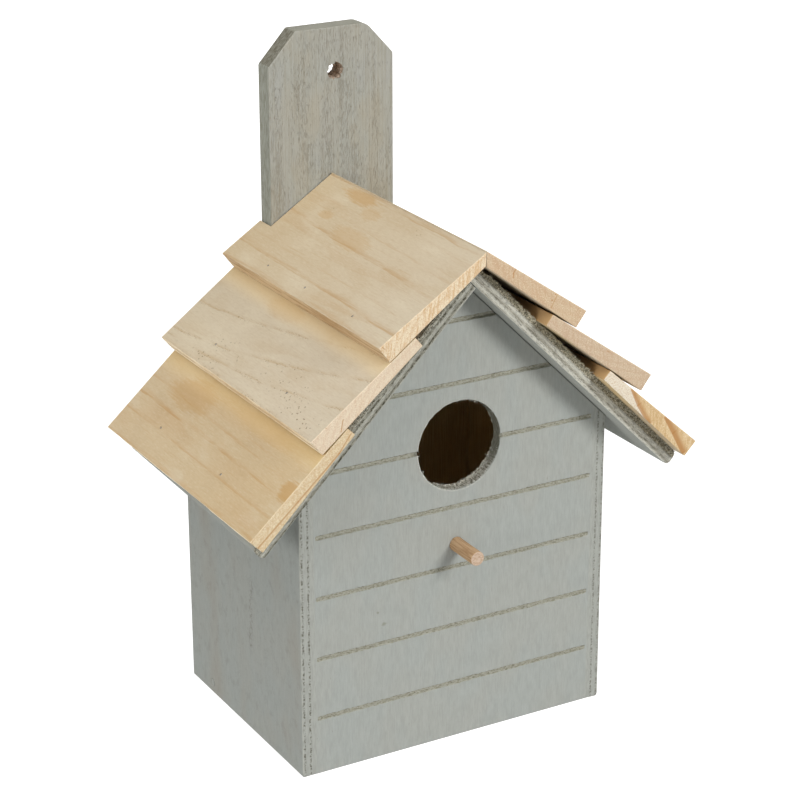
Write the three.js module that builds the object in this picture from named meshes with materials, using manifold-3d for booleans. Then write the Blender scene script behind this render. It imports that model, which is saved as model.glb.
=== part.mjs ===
// Wall-mounted birdhouse: a painted plywood nest box with a shingled saddle roof, a hanging
// board, a perch and a floor that swings down for cleaning.
//
// Lengths are millimetres, +Z is up and the entrance faces -Y. Every piece is first placed in
// the house's own frame: x = 0 under the ridge, y = 0 on the front wall's face, z = 0 under
// the walls. The exported group then moves the house so that the part's origin is the middle
// of its footprint.

import * as THREE from 'three';
import { mergeVertices } from 'three/addons/utils/BufferGeometryUtils.js';
import Module from 'manifold-3d';

const wasm = await Module();
wasm.setup();

// Stock and fits shared by several pieces
const ply = 5.3; // plywood of the walls, the floor and the roof, with its paint
const glueLine = 0.3; // left between sloping pieces that are glued or pinned together
const overrun = 2; // how far every cutter passes the faces that it cuts

// The carcass, a box with two gables
const house = {
  width: 120, // over the side walls
  depth: 88, // front face of the front wall to back face of the back wall
  peak: 169.5, // underside of the roof where its two slopes meet
  pitch: Math.PI / 4,
};

// Sawn grooves that make the front wall look boarded
const groove = {
  width: 1.6, // at the face
  floorWidth: 0.9,
  depth: 1,
  first: 21.1, // height of the lowest one
  spacing: 22.3,
};

// Entrance, bored a little to the right of the middle as on the real front
const entrance = { radius: 16.1, height: 110.2, shift: 1, facets: 48 };

// Dowel glued into the front wall under the entrance
const perch = { radius: 2.55, reach: 14.1, drop: 36.2, bevel: 0.3, clearance: 0.05, facets: 24 };

// Board that the house hangs by, screwed to the back wall from behind
const board = {
  width: 49.3,
  thickness: 8,
  height: 235.4,
  shift: 0.75, // its middle is a little to the right of the house's
  cornerAcross: 10.7, // its two top corners, cut off
  cornerDown: 11.7,
};
const hangingHole = { radius: 2.97, drop: 15.7, shift: 2.3, facets: 24 };
const screw = {
  radius: 1.5,
  headRadius: 2.9,
  headDepth: 1.7,
  length: 12.8,
  point: 3,
  clearance: 0.1,
  facets: 16,
  first: 25, // height of the lowest one
  spacing: 55,
  count: 3,
};

// Floor that swings down on two pins near its back edge
const floor = {
  recess: 1.5, // underside above the walls' lower edges
  frontGap: 0.5,
  backGap: 1,
  sideGap: 0.4,
  pivotInset: 17, // pivot line in front of the back wall's back face
};
const pin = {
  radius: 0.9,
  headRadius: 1.3,
  headDepth: 1.2,
  length: 18,
  point: 1.5,
  clearance: 0.1,
  facets: 12,
};

// Plywood slopes of the roof; the right one laps over the top end of the left one
const slope = {
  length: 116.65, // down the upper face, from the ridge to the eave
  overhang: 11.6, // in front of the front wall
  eaveRound: 1.7, // worn radius on both corners of the lower end
  arcSteps: 4,
};

// Tapered pine boards, three to a slope. "run" is a board's length down the slope; "lift" is
// the height of its upper end above the plywood; "thin" and "butt" are its thickness at the
// upper and lower end; "frontReach" is how far it stands in front of the front wall. "upperEnd"
// is where a board starts below the apex; the ridge boards start at the ridge, and the eave
// boards run on to "eaveInset" above the plywood's lower end.
const ridge = { seam: 0.15, opening: 0.7 }; // half gaps of the mitre, at its top and added below
const notchGap = 0.5; // round the hanging board, where the shingles are cut away for it
const shingles = {
  left: {
    ridge: {
      run: 43.1, lift: 1.5, thin: 3.6, butt: 6.85, frontReach: 17.4,
      bradInset: 5, bradShares: [0.22, 0.514, 0.755],
    },
    middle: {
      upperEnd: 31.7, run: 47.3, lift: 1.2, thin: 4.2, butt: 6.75, frontReach: 17.2,
      bradInset: 9, bradShares: [0.268, 0.739],
    },
    eave: {
      upperEnd: 67.3, eaveInset: 1.75, lift: 0.5, thin: 3.8, butt: 6.5, frontReach: 17,
      bradInset: 11.4, bradShares: [0.338, 0.757],
    },
  },
  right: {
    ridge: {
      run: 42.9, lift: 1.25, thin: 4.2, butt: 6.55, frontReach: 17.7,
      bradInset: 5, bradShares: [0.22, 0.514, 0.755],
    },
    middle: {
      upperEnd: 32.5, run: 49, lift: 0.3, thin: 4.2, butt: 6.5, frontReach: 17.7,
      bradInset: 9, bradShares: [0.268, 0.739],
    },
    eave: {
      upperEnd: 65.6, eaveInset: 1.65, lift: 0.3, thin: 3.8, butt: 6.6, frontReach: 17.7,
      bradInset: 11.4, bradShares: [0.338, 0.757],
    },
  },
};
const brad = { radius: 0.6, bite: 3, sink: 0.1, clearance: 0.1, facets: 8 };

// Sizes that follow from those above
const inner = house.width / 2 - ply; // inner face of a side wall
const boardBack = house.depth + board.thickness;
const boardSides = [-1, 1].map((sign) => board.shift + (sign * board.width) / 2);
const apex = house.peak + ply / Math.cos(house.pitch); // top faces of the slopes meet here
const pivot = { y: house.depth - floor.pivotInset, z: floor.recess + ply / 2 };
const sides = [
  { name: 'left', sign: -1 },
  { name: 'right', sign: 1 },
];

// Materials
function material(color, roughness, metalness) {
  return new THREE.MeshStandardMaterial({ color, roughness, metalness });
}
const greyPaint = material(0xa2a8a2, 0.85, 0);
const barePine = material(0xd8c096, 0.75, 0);
const bareDowel = material(0xcf9f74, 0.7, 0);
const steel = material(0x8f8d88, 0.4, 1);

// Solids: three.js shapes them, and manifold-3d cuts one by others
function solidOf(geometry) {
  const bare = geometry.clone();
  bare.deleteAttribute('normal');
  bare.deleteAttribute('uv');
  const merged = mergeVertices(bare);
  const corners = [];
  for (let i = 0; i < merged.index.count; i += 3) {
    const [a, b, c] = [0, 1, 2].map((step) => merged.index.getX(i + step));
    if (a !== b && b !== c && c !== a) corners.push(a, b, c);
  }
  const mesh = new wasm.Mesh({
    numProp: 3,
    vertProperties: new Float32Array(merged.attributes.position.array),
    triVerts: new Uint32Array(corners),
  });
  return new wasm.Manifold(mesh);
}

function geometryOf(solid) {
  const mesh = solid.getMesh();
  const geometry = new THREE.BufferGeometry();
  geometry.setAttribute('position', new THREE.BufferAttribute(mesh.vertProperties, 3));
  geometry.setIndex(new THREE.BufferAttribute(mesh.triVerts, 1));
  geometry.computeVertexNormals();
  return geometry;
}

function cut(geometry, cutters) {
  const solid = cutters.reduce((rest, cutter) => rest.subtract(solidOf(cutter)), solidOf(geometry));
  return geometryOf(solid);
}

// A plate with an upright outline in x and z, from y = front to y = back
function plate(outline, front, back, holes = [], curveSegments = 1) {
  const shape = outline instanceof THREE.Shape ? outline : new THREE.Shape(outline);
  shape.holes.push(...holes);
  const depth = back - front;
  const geometry = new THREE.ExtrudeGeometry(shape, { depth, bevelEnabled: false, curveSegments });
  return geometry.rotateX(Math.PI / 2).translate(0, back, 0);
}

function roundHole(x, z, radius) {
  return new THREE.Path().absarc(x, z, radius, 0, 2 * Math.PI, true);
}

function box(low, high) {
  const [a, b] = [new THREE.Vector3(...low), new THREE.Vector3(...high)];
  const size = b.clone().sub(a);
  const middle = a.add(b).multiplyScalar(0.5);
  return new THREE.BoxGeometry(size.x, size.y, size.z).translate(middle.x, middle.y, middle.z);
}

// A turned piece: its profile is a list of [radius, distance], along the given direction
function turned(profile, facets, start, direction) {
  const points = profile.map(([radius, along]) => new THREE.Vector2(radius, along));
  const turn = new THREE.Quaternion().setFromUnitVectors(new THREE.Vector3(0, 1, 0), direction);
  const geometry = new THREE.LatheGeometry(points, facets);
  return geometry.applyQuaternion(turn).translate(start.x, start.y, start.z);
}

function named(name, geometry, finish) {
  const mesh = new THREE.Mesh(geometry, finish);
  mesh.name = name;
  return mesh;
}

// Fasteners. The same profile, grown by its clearance and run out past the head, drills their
// holes. It runs from the rim of the head's top face, at 0, to the end of the shank.
function headedProfile({ radius, headRadius, headDepth, length }, grow) {
  return [
    [headRadius + grow, 0],
    [radius + grow, headDepth],
    [radius + grow, length + grow],
  ];
}

function headed(fastener, start, direction) {
  const { length, point, facets } = fastener;
  const shank = headedProfile({ ...fastener, length: length - point }, 0);
  return turned([[0, 0], ...shank, [0, length]], facets, start, direction);
}

function headedHole(fastener, start, direction) {
  const { length, headRadius, clearance, facets } = fastener;
  const mouth = [[0, -overrun], [headRadius + clearance, -overrun]];
  const bore = headedProfile(fastener, clearance);
  return turned([...mouth, ...bore, [0, length + clearance]], facets, start, direction);
}

// Pins of the floor, driven in from the outer faces of the side walls
const floorPins = sides.map(({ name, sign }) => ({
  name: `${name}_floor_pin`,
  start: new THREE.Vector3((sign * house.width) / 2, pivot.y, pivot.z),
  direction: new THREE.Vector3(-sign, 0, 0),
}));

// Screws of the hanging board, driven in from its back face
const boardScrews = Array.from({ length: screw.count }, (_, i) => ({
  name: `back_board_screw_${i + 1}`,
  start: new THREE.Vector3(0, boardBack, screw.first + i * screw.spacing),
  direction: new THREE.Vector3(0, -1, 0),
}));

// Height of a wall's upper edge under the roof, at a distance from the ridge
function underRoof(x) {
  return house.peak - glueLine / Math.cos(house.pitch) - Math.abs(x) * Math.tan(house.pitch);
}

// Side walls run the full depth, with their upper edges cut to the slope
function sideWall({ name, sign }) {
  const outer = (sign * house.width) / 2;
  const inside = sign * inner;
  const outline = [
    new THREE.Vector2(outer, 0),
    new THREE.Vector2(outer, underRoof(outer)),
    new THREE.Vector2(inside, underRoof(inside)),
    new THREE.Vector2(inside, 0),
  ];
  const holes = floorPins.map(({ start, direction }) => headedHole(pin, start, direction));
  return named(`${name}_wall`, cut(plate(outline, 0, house.depth), holes), greyPaint);
}

// Front and back walls stand between the side walls and fill the gables
function gable() {
  return new THREE.Shape([
    new THREE.Vector2(-inner, 0),
    new THREE.Vector2(inner, 0),
    new THREE.Vector2(inner, underRoof(inner)),
    new THREE.Vector2(0, underRoof(0)),
    new THREE.Vector2(-inner, underRoof(inner)),
  ]);
}

function grooveCutter(height) {
  const { width, floorWidth, depth } = groove;
  const section = new THREE.Shape([
    new THREE.Vector2(-width / 2, 0),
    new THREE.Vector2(-floorWidth / 2, depth),
    new THREE.Vector2(floorWidth / 2, depth),
    new THREE.Vector2(width / 2, 0),
    new THREE.Vector2(width / 2, -overrun),
    new THREE.Vector2(-width / 2, -overrun),
  ]);
  const length = house.width + 2 * overrun;
  const cutter = new THREE.ExtrudeGeometry(section, { depth: length, bevelEnabled: false });
  // The section's x runs up the wall, its y into the wall, and the cutter's length lies along x
  const lie = new THREE.Matrix4().makeBasis(
    new THREE.Vector3(0, 0, 1),
    new THREE.Vector3(0, 1, 0),
    new THREE.Vector3(-1, 0, 0),
  );
  return cutter.applyMatrix4(lie).translate(length / 2, 0, height);
}

function perchProfile(grow, out) {
  const radius = perch.radius + grow;
  const length = perch.reach + ply + out;
  return [
    [0, -out],
    [radius - perch.bevel, -out],
    [radius, perch.bevel - out],
    [radius, length],
    [0, length],
  ];
}

const perchStart = new THREE.Vector3(0, -perch.reach, entrance.height - perch.drop);
const inward = new THREE.Vector3(0, 1, 0);

function frontWall() {
  const shift = entrance.shift;
  const hole = roundHole(shift, entrance.height, entrance.radius);
  const wall = plate(gable(), 0, ply, [hole], entrance.facets / 2);
  const dowelHole = turned(perchProfile(perch.clearance, overrun), perch.facets, perchStart, inward);
  const count = Math.floor((house.peak - groove.first) / groove.spacing) + 1;
  const grooves = Array.from({ length: count }, (_, i) => grooveCutter(groove.first + i * groove.spacing));
  return named('front_wall', cut(wall, [...grooves, dowelHole]), greyPaint);
}

function perchDowel() {
  const dowel = turned(perchProfile(0, 0), perch.facets, perchStart, inward);
  return named('perch', dowel, bareDowel);
}

function backWall() {
  const holes = boardScrews.map(({ start, direction }) => headedHole(screw, start, direction));
  return named('back_wall', cut(plate(gable(), house.depth - ply, house.depth), holes), greyPaint);
}

// The hanging board stands on the same level as the walls, with its two top corners cut off
function hangingBoard() {
  const [left, right] = boardSides;
  const shoulder = board.height - board.cornerDown;
  const outline = new THREE.Shape([
    new THREE.Vector2(left, 0),
    new THREE.Vector2(right, 0),
    new THREE.Vector2(right, shoulder),
    new THREE.Vector2(right - board.cornerAcross, board.height),
    new THREE.Vector2(left + board.cornerAcross, board.height),
    new THREE.Vector2(left, shoulder),
  ]);
  const { shift, drop, radius, facets } = hangingHole;
  const hole = roundHole(shift, board.height - drop, radius);
  const panel = plate(outline, house.depth, boardBack, [hole], facets / 2);
  const holes = boardScrews.map(({ start, direction }) => headedHole(screw, start, direction));
  return named('back_board', cut(panel, holes), greyPaint);
}

// The floor, in a group whose origin is on the pivot line
function cleanOutFloor() {
  const half = inner - floor.sideGap;
  const front = ply + floor.frontGap - pivot.y;
  const back = house.depth - ply - floor.backGap - pivot.y;
  const panel = box([-half, front, -ply / 2], [half, back, ply / 2]);
  const toPivot = new THREE.Vector3(0, pivot.y, pivot.z);
  const holes = floorPins.map(({ start, direction }) =>
    headedHole(pin, start.clone().sub(toPivot), direction));
  const hinge = new THREE.Group();
  hinge.position.copy(toPivot);
  hinge.add(named('floor_panel', cut(panel, holes), greyPaint));
  return hinge;
}

// A point of a slope, from its distance down the slope and its height above the plywood
function onSlope(sign, down, up) {
  const [sin, cos] = [Math.sin(house.pitch), Math.cos(house.pitch)];
  return new THREE.Vector2(sign * (down * cos + up * sin), apex - down * sin + up * cos);
}

// Roof panels: the right one's top end is cut along the left slope, and the left one's top end
// butts against its underside
function roofPanel({ name, sign }) {
  const double = Math.sin(2 * house.pitch);
  const round = slope.eaveRound;
  const laps = sign > 0;
  const topDown = laps ? 0 : (ply + glueLine) / double;
  const lowDown = laps ? -ply / Math.tan(2 * house.pitch) : glueLine / double + ply * Math.tan(house.pitch);
  const outline = [onSlope(sign, topDown, 0)];
  for (const [middleUp, turn] of [[-round, Math.PI / 2], [round - ply, 0]]) {
    for (let i = 0; i <= slope.arcSteps; i += 1) {
      const angle = turn - (i / slope.arcSteps) * (Math.PI / 2);
      const down = slope.length - round + round * Math.cos(angle);
      outline.push(onSlope(sign, down, middleUp + round * Math.sin(angle)));
    }
  }
  outline.push(onSlope(sign, lowDown, -ply));
  return named(`${name}_roof_panel`, plate(outline, -slope.overhang, house.depth), greyPaint);
}

// A board on its slope, from where it starts and how far its lower end rises off the slope
function laid(shingle, start, rise) {
  const tilt = Math.atan2(rise, shingle.run);
  const along = new THREE.Vector2(Math.cos(tilt), Math.sin(tilt));
  const up = new THREE.Vector2(-Math.sin(tilt), Math.cos(tilt));
  const upper = new THREE.Vector2(start, shingle.lift);
  const lower = new THREE.Vector2(start + shingle.run, shingle.lift + rise);
  const upperTop = upper.clone().addScaledVector(up, shingle.thin);
  const lowerTop = lower.clone().addScaledVector(up, shingle.butt);
  return { shingle, along, up, upper, lower, upperTop, lowerTop };
}

// The rise that seats a board on the one below it: on that one's upper corner, or with its own
// lower end on that one's upper face, whichever lifts it more
function riseOver(below, shingle, start) {
  const { upperTop, lowerTop } = below;
  const climb = (lowerTop.y - upperTop.y) / (lowerTop.x - upperTop.x);
  const clear = upperTop.y + glueLine - shingle.lift;
  const overCorner = (clear / (upperTop.x - start)) * shingle.run;
  const overFace = clear + climb * (start + shingle.run - upperTop.x);
  return Math.max(overCorner, overFace);
}

// The eave board lies along the plywood, and the others bear on each other up to the ridge
function seated(boards) {
  const { upperEnd, eaveInset } = boards.eave;
  const eave = laid({ ...boards.eave, run: slope.length - eaveInset - upperEnd }, upperEnd, 0);
  const middleStart = boards.middle.upperEnd;
  const middle = laid(boards.middle, middleStart, riseOver(eave, boards.middle, middleStart));
  const lowGap = ridge.seam + ridge.opening;
  const ridgeStart = (lowGap - boards.ridge.lift * Math.sin(house.pitch)) / Math.cos(house.pitch);
  const top = laid(boards.ridge, ridgeStart, riseOver(middle, boards.ridge, ridgeStart));
  return { ridge: top, middle, eave };
}

// The ridge board's upper face runs on to the mitre, where both slopes' boards meet
function mitred(sign, seat) {
  const low = onSlope(sign, seat.lowerTop.x, seat.lowerTop.y);
  const high = onSlope(sign, seat.upperTop.x, seat.upperTop.y);
  const share = (sign * ridge.seam - low.x) / (high.x - low.x);
  return low.clone().lerp(high, share);
}

// Brads go square through a board near its lower end and bite into the roof's plywood
function bradsOf(side, course, seat) {
  const { shingle, along, up, upper, lower } = seat;
  const length = upper.distanceTo(lower);
  const reach = length - shingle.bradInset;
  const thickness = shingle.thin + ((shingle.butt - shingle.thin) * reach) / length;
  const head = upper.clone().addScaledVector(along, reach).addScaledVector(up, thickness - brad.sink);
  const point = head.clone().addScaledVector(up, -(head.y + brad.bite) / up.y);
  const [from, to] = [head, point].map(({ x, y }) => onSlope(side.sign, x, y));
  const span = boardBack + shingle.frontReach;
  return shingle.bradShares.map((share, i) => {
    const y = share * span - shingle.frontReach;
    const start = new THREE.Vector3(from.x, y, from.y);
    const end = new THREE.Vector3(to.x, y, to.y);
    const direction = end.clone().sub(start).normalize();
    const name = `${side.name}_${course}_brad_${i + 1}`;
    return { name, start, direction, length: start.distanceTo(end) };
  });
}

function bradBody({ start, direction, length }, grow, out) {
  const [radius, end] = [brad.radius + grow, length + grow];
  return turned([[0, -out], [radius, -out], [radius, end], [0, end]], brad.facets, start, direction);
}

function shingleBoard(side, course, seat, holes) {
  const { sign, name } = side;
  const { shingle, upper, lower, upperTop, lowerTop } = seat;
  const upperCorner = course === 'ridge' ? mitred(sign, seat) : onSlope(sign, upperTop.x, upperTop.y);
  const outline = [
    onSlope(sign, upper.x, upper.y),
    onSlope(sign, lower.x, lower.y),
    onSlope(sign, lowerTop.x, lowerTop.y),
    upperCorner,
  ];
  const notch = box(
    [boardSides[0] - notchGap, house.depth - notchGap, 0],
    [boardSides[1] + notchGap, boardBack + overrun, board.height],
  );
  const body = plate(outline, -shingle.frontReach, boardBack);
  return named(`${name}_${course}_shingle`, cut(body, [notch, ...holes]), barePine);
}

// One slope of the roof with its boards and brads
function roofSide(side) {
  const seats = seated(shingles[side.name]);
  const courses = Object.keys(seats);
  const brads = courses.flatMap((course) => bradsOf(side, course, seats[course]));
  const holes = brads.map((nail) => bradBody(nail, brad.clearance, overrun));
  const panel = roofPanel(side);
  panel.geometry = cut(panel.geometry, holes);
  const group = new THREE.Group();
  group.add(panel);
  for (const course of courses) group.add(shingleBoard(side, course, seats[course], holes));
  for (const nail of brads) group.add(named(nail.name, bradBody(nail, 0, 0), steel));
  return group;
}

// The house, moved so that the origin is under the middle of its footprint
const front = Math.max(...Object.values(shingles).flatMap((boards) =>
  Object.values(boards).map((shingle) => shingle.frontReach)));
const birdhouse = new THREE.Group();
birdhouse.position.y = (front - boardBack) / 2;
birdhouse.add(frontWall(), perchDowel(), backWall(), hangingBoard(), cleanOutFloor());
for (const side of sides) birdhouse.add(sideWall(side), roofSide(side));
for (const { name, start, direction } of floorPins) {
  birdhouse.add(named(name, headed(pin, start, direction), steel));
}
for (const { name, start, direction } of boardScrews) {
  birdhouse.add(named(name, headed(screw, start, direction), steel));
}

export default birdhouse;
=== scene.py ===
import math
import random
from collections import namedtuple

import bmesh
import bpy
from mathutils import Matrix, Vector, noise


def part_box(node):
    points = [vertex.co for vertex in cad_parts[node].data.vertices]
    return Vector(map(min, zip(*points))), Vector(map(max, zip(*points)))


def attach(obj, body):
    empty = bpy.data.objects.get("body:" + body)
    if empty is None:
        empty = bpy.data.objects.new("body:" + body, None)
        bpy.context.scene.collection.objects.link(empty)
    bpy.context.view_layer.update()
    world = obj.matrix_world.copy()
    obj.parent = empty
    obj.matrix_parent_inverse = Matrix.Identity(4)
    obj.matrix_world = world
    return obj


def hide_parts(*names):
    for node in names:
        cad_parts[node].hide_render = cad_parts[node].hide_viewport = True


# A wall-mounted birdhouse of grey-washed plywood, with a roof of tapered pine boards.
# Sizes are in the house's own millimetres: x from its middle, y back from its front, z up.
# A colour is (red, green, blue) as it looks on a screen, from 0 to 255.

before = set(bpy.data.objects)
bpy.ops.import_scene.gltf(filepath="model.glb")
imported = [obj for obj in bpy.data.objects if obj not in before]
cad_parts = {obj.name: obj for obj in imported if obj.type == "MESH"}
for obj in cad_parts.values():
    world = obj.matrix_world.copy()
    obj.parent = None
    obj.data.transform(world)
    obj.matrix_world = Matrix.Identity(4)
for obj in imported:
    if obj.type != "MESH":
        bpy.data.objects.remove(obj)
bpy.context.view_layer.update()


# Camera
# The photograph's view: from the left front and a little above, through a long lens. Its place
# and lens were fitted to the corners of the walls, the roof and the hanging board.

mm_per_metre = 1000
front_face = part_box("front_wall")[0][1]
house_to_part = Matrix.Translation((0, front_face, 0)) @ Matrix.Scale(1 / mm_per_metre, 4)

lens = bpy.data.cameras.new("camera")
lens.lens, lens.sensor_width = 110.94, 36
camera = bpy.data.objects.new("camera", lens)
stand = house_to_part @ Vector((-394.3, -656.3, 424.8))
target = house_to_part @ Vector((-21.97, 0, 130.87))
roll = Matrix.Rotation(math.radians(-0.092), 4, "Z")
aim = (target - stand).to_track_quat("-Z", "Y").to_matrix().to_4x4()
camera.matrix_world = Matrix.Translation(stand) @ aim @ roll
bpy.context.scene.collection.objects.link(camera)
bpy.context.scene.camera = camera
bpy.context.scene.view_settings.view_transform = "Standard"


# Floor, lamps and white surroundings
# A pale studio floor below the open clean-out door, a lamp in front and broad weaker ones on the
# left, overhead and behind.
# Seen directly, the surroundings are white; from below, the floor isn't there.


class Wire:
    """What a node gives out. An operator adds the Math node that it stands for."""

    def __init__(self, finish, socket):
        self.finish, self.socket = finish, socket

    def math(self, operation, *values):
        return self.finish.node("ShaderNodeMath", {"operation": operation}, values)

    def also(self, output):
        """Another output of the same node."""
        return Wire(self.finish, self.socket.node.outputs[output])

    def or_more(self, other):
        """The larger of this and another."""
        return self.math("MAXIMUM", self, other)

    def __add__(self, other):
        return self.math("ADD", self, other)

    def __sub__(self, other):
        return self.math("SUBTRACT", self, other)

    def __rsub__(self, other):
        return self.math("SUBTRACT", other, self)

    def __mul__(self, other):
        return self.math("MULTIPLY", self, other)

    def __truediv__(self, other):
        return self.math("DIVIDE", self, other)

    def __pow__(self, other):
        return self.math("POWER", self, other)

    def __abs__(self):
        return self.math("ABSOLUTE", self)

    def __lt__(self, other):
        return self.math("LESS_THAN", self, other)

    def __gt__(self, other):
        return self.math("GREATER_THAN", self, other)

    __radd__, __rmul__ = __add__, __mul__


class Finish:
    """The nodes of a material or of the world, added by one method."""

    def __init__(self, owner):
        owner.use_nodes = True
        self.owner, self.tree = owner, owner.node_tree

    def node(self, kind, settings=None, values=(), output=0):
        made = self.tree.nodes.new(kind)
        for name, setting in (settings or {}).items():
            setattr(made, name, setting)
        for key, value in values.items() if isinstance(values, dict) else enumerate(values):
            self.feed(made.inputs[key], value)
        return Wire(self, made.outputs[output])

    def feed(self, socket, value):
        if isinstance(value, Wire):
            self.tree.links.new(value.socket, socket)
        else:
            socket.default_value = value

    def seen_directly(self):
        """1 where a ray comes from the camera, a glossy surface or glass."""
        path = self.node("ShaderNodeLightPath", output="Is Camera Ray")
        return path.or_more(path.also("Is Glossy Ray")).or_more(path.also("Is Transmission Ray"))


def tint(red, green, blue):
    """A colour in the shader's own scale."""
    shares = [value / 255 for value in (red, green, blue)]
    return [s / 12.92 if s <= 0.04045 else ((s + 0.055) / 1.055) ** 2.4 for s in shares] + [1]


def link_new(name, data):
    made = bpy.data.objects.new(name, data)
    bpy.context.scene.collection.objects.link(made)
    return made


air = Finish(bpy.context.scene.world or bpy.data.worlds.new("air"))
bpy.context.scene.world = air.owner
ambient, direct_white = 0.28, 1.0
sky = air.tree.nodes["Background"]
air.feed(sky.inputs["Color"], tint(255, 255, 255))
shown = air.seen_directly()
air.feed(sky.inputs["Strength"], shown * (direct_white - ambient) + ambient)

lamps = {
    "front_lamp": {"place": (0.76, -2.0, 1.21), "width": 0.9, "watts": 35.5},
    "left_lamp": {"place": (-1.5, -0.38, 0.56), "width": 0.9, "watts": 8.8},
    "top_lamp": {"place": (-0.57, -0.33, 1.6), "width": 1.2, "watts": 8.6},
    "back_lamp": {"place": (1.1, 1.8, 0.45), "width": 1.2, "watts": 22},
}
lit_point = Vector((0, 0, 0.11))
for name, lamp in lamps.items():
    light = bpy.data.lights.new(name, "AREA")
    light.shape, light.size, light.energy = "DISK", lamp["width"], lamp["watts"]
    place = Vector(lamp["place"])
    towards = (lit_point - place).to_track_quat("-Z", "Y")
    link_new(name, light).matrix_world = Matrix.Translation(place) @ towards.to_matrix().to_4x4()

floor_level, floor_reach, floor_grey, floor_glow = -0.08, 6, 0.58, 0.7
ground = bmesh.new()
bmesh.ops.create_grid(ground, x_segments=1, y_segments=1, size=floor_reach,
                      matrix=Matrix.Translation((0, 0, floor_level)))
ground_data = bpy.data.meshes.new("studio_floor")
ground.to_mesh(ground_data)
ground.free()
studio_floor = link_new("studio_floor", ground_data)
sheet = Finish(bpy.data.materials.new("white studio floor"))
glow = sheet.node("ShaderNodeEmission", {}, {"Strength": sheet.seen_directly() * floor_glow})
matt = sheet.node("ShaderNodeBsdfDiffuse", {}, {"Color": (floor_grey, floor_grey, floor_grey, 1)})
both = sheet.node("ShaderNodeAddShader", {}, [matt, glow])
underneath = sheet.node("ShaderNodeNewGeometry", output="Backfacing")
clear = sheet.node("ShaderNodeBsdfTransparent")
surface = sheet.node("ShaderNodeMixShader", {}, [underneath, both, clear])
sheet.tree.links.new(surface.socket, sheet.tree.nodes["Material Output"].inputs["Surface"])
ground_data.materials.append(sheet.owner)


# Front wall
# A plywood gable between the side walls, with seven sawn grooves that look like boarding, a bored
# entrance and a hole for the perch. Grey wash outside, bare wood inside, torn fibre in the grooves.

ply, glue_line = 5.3, 0.3
wall = {"half_width": 60, "depth": 88, "peak": 169.5, "worn": 0.5}
inner = wall["half_width"] - ply
groove = {"half_width": 0.92, "half_floor": 0.5, "depth": 0.85, "first": 21.1, "spacing": 22.3,
          "count": 7, "run_out": 1.6, "columns": 260}
grooves = [groove["first"] + i * groove["spacing"] for i in range(groove["count"])]
entrance = {"x": 1, "z": 110.2, "radius": 16.1, "facets": 180}
perch = {"x": 0, "z": 74, "radius": 2.55, "reach": 14.1, "hole": 2.62, "facets": 48, "worn": 0.25}


class Wood(Finish):
    """A material for a piece of this house, painted by where it lies in millimetres."""

    def __init__(self, name):
        super().__init__(bpy.data.materials.new(name))
        self.shader = self.tree.nodes["Principled BSDF"]
        self.feed(self.shader.inputs["Specular IOR Level"], 0.1)
        here = self.node("ShaderNodeTexCoord", output="Object")
        self.place = self.node("ShaderNodeMapping", {}, {
            "Vector": here, "Location": (0, -mm_per_metre * front_face, 0), "Scale": [mm_per_metre] * 3})
        self.x = self.node("ShaderNodeSeparateXYZ", {}, [self.place])
        self.y, self.z = self.x.also(1), self.x.also(2)

    def spot(self, x, y, z):
        """A place made of three values."""
        return self.node("ShaderNodeCombineXYZ", {}, [x, y, z])

    def noise(self, per_mm, detail=2, rough=0.5, where=None):
        """Noise with so many waves to a millimetre along x, y and z."""
        drawn = self.node("ShaderNodeVectorMath", {"operation": "MULTIPLY"},
                          [where or self.place, per_mm])
        return self.node("ShaderNodeTexNoise", {}, {
            "Vector": drawn, "Scale": 1, "Detail": detail, "Roughness": rough})

    def rise(self, value, start, end):
        """0 up to start and 1 from end on, or the other way round where end comes first."""
        return self.node("ShaderNodeMapRange", {"interpolation_type": "SMOOTHSTEP"},
                         [value, start, end])

    def blend(self, one, other, share):
        one, other = (tint(*colour) if isinstance(colour, tuple) else colour for colour in (one, other))
        return self.node("ShaderNodeMix", {"data_type": "RGBA"}, {0: share, 6: one, 7: other}, 2)

    def graded(self, value, start, end, one, other):
        """One colour up to start and another from end on."""
        return self.blend(one, other, self.rise(value, start, end))

    def over(self, colour, *coats):
        """A colour under coats of (colour, share), laid on in their order."""
        for coat, share in coats:
            colour = self.blend(colour, coat, share)
        return colour

    def away(self, *distances):
        """How far a point is from another, from its distances along the axes."""
        total = distances[0] * distances[0]
        for distance in distances[1:]:
            total = total + distance * distance
        return total ** 0.5

    def coat(self, colour, roughness, height, depth):
        """Gives the shader its colour, its roughness, and a relief so many millimetres deep."""
        relief = self.node("ShaderNodeBump", {}, {
            "Strength": 1, "Distance": depth / mm_per_metre, "Height": height})
        self.feed(self.shader.inputs["Base Color"], colour)
        self.feed(self.shader.inputs["Roughness"], roughness)
        self.feed(self.shader.inputs["Normal"], relief)
        return self.owner


def drawn_out(along, across, lengthways):
    """Waves to a millimetre for grain that runs along axis 0, 1 or 2."""
    return [lengthways if axis == along else across for axis in range(3)]


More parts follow.
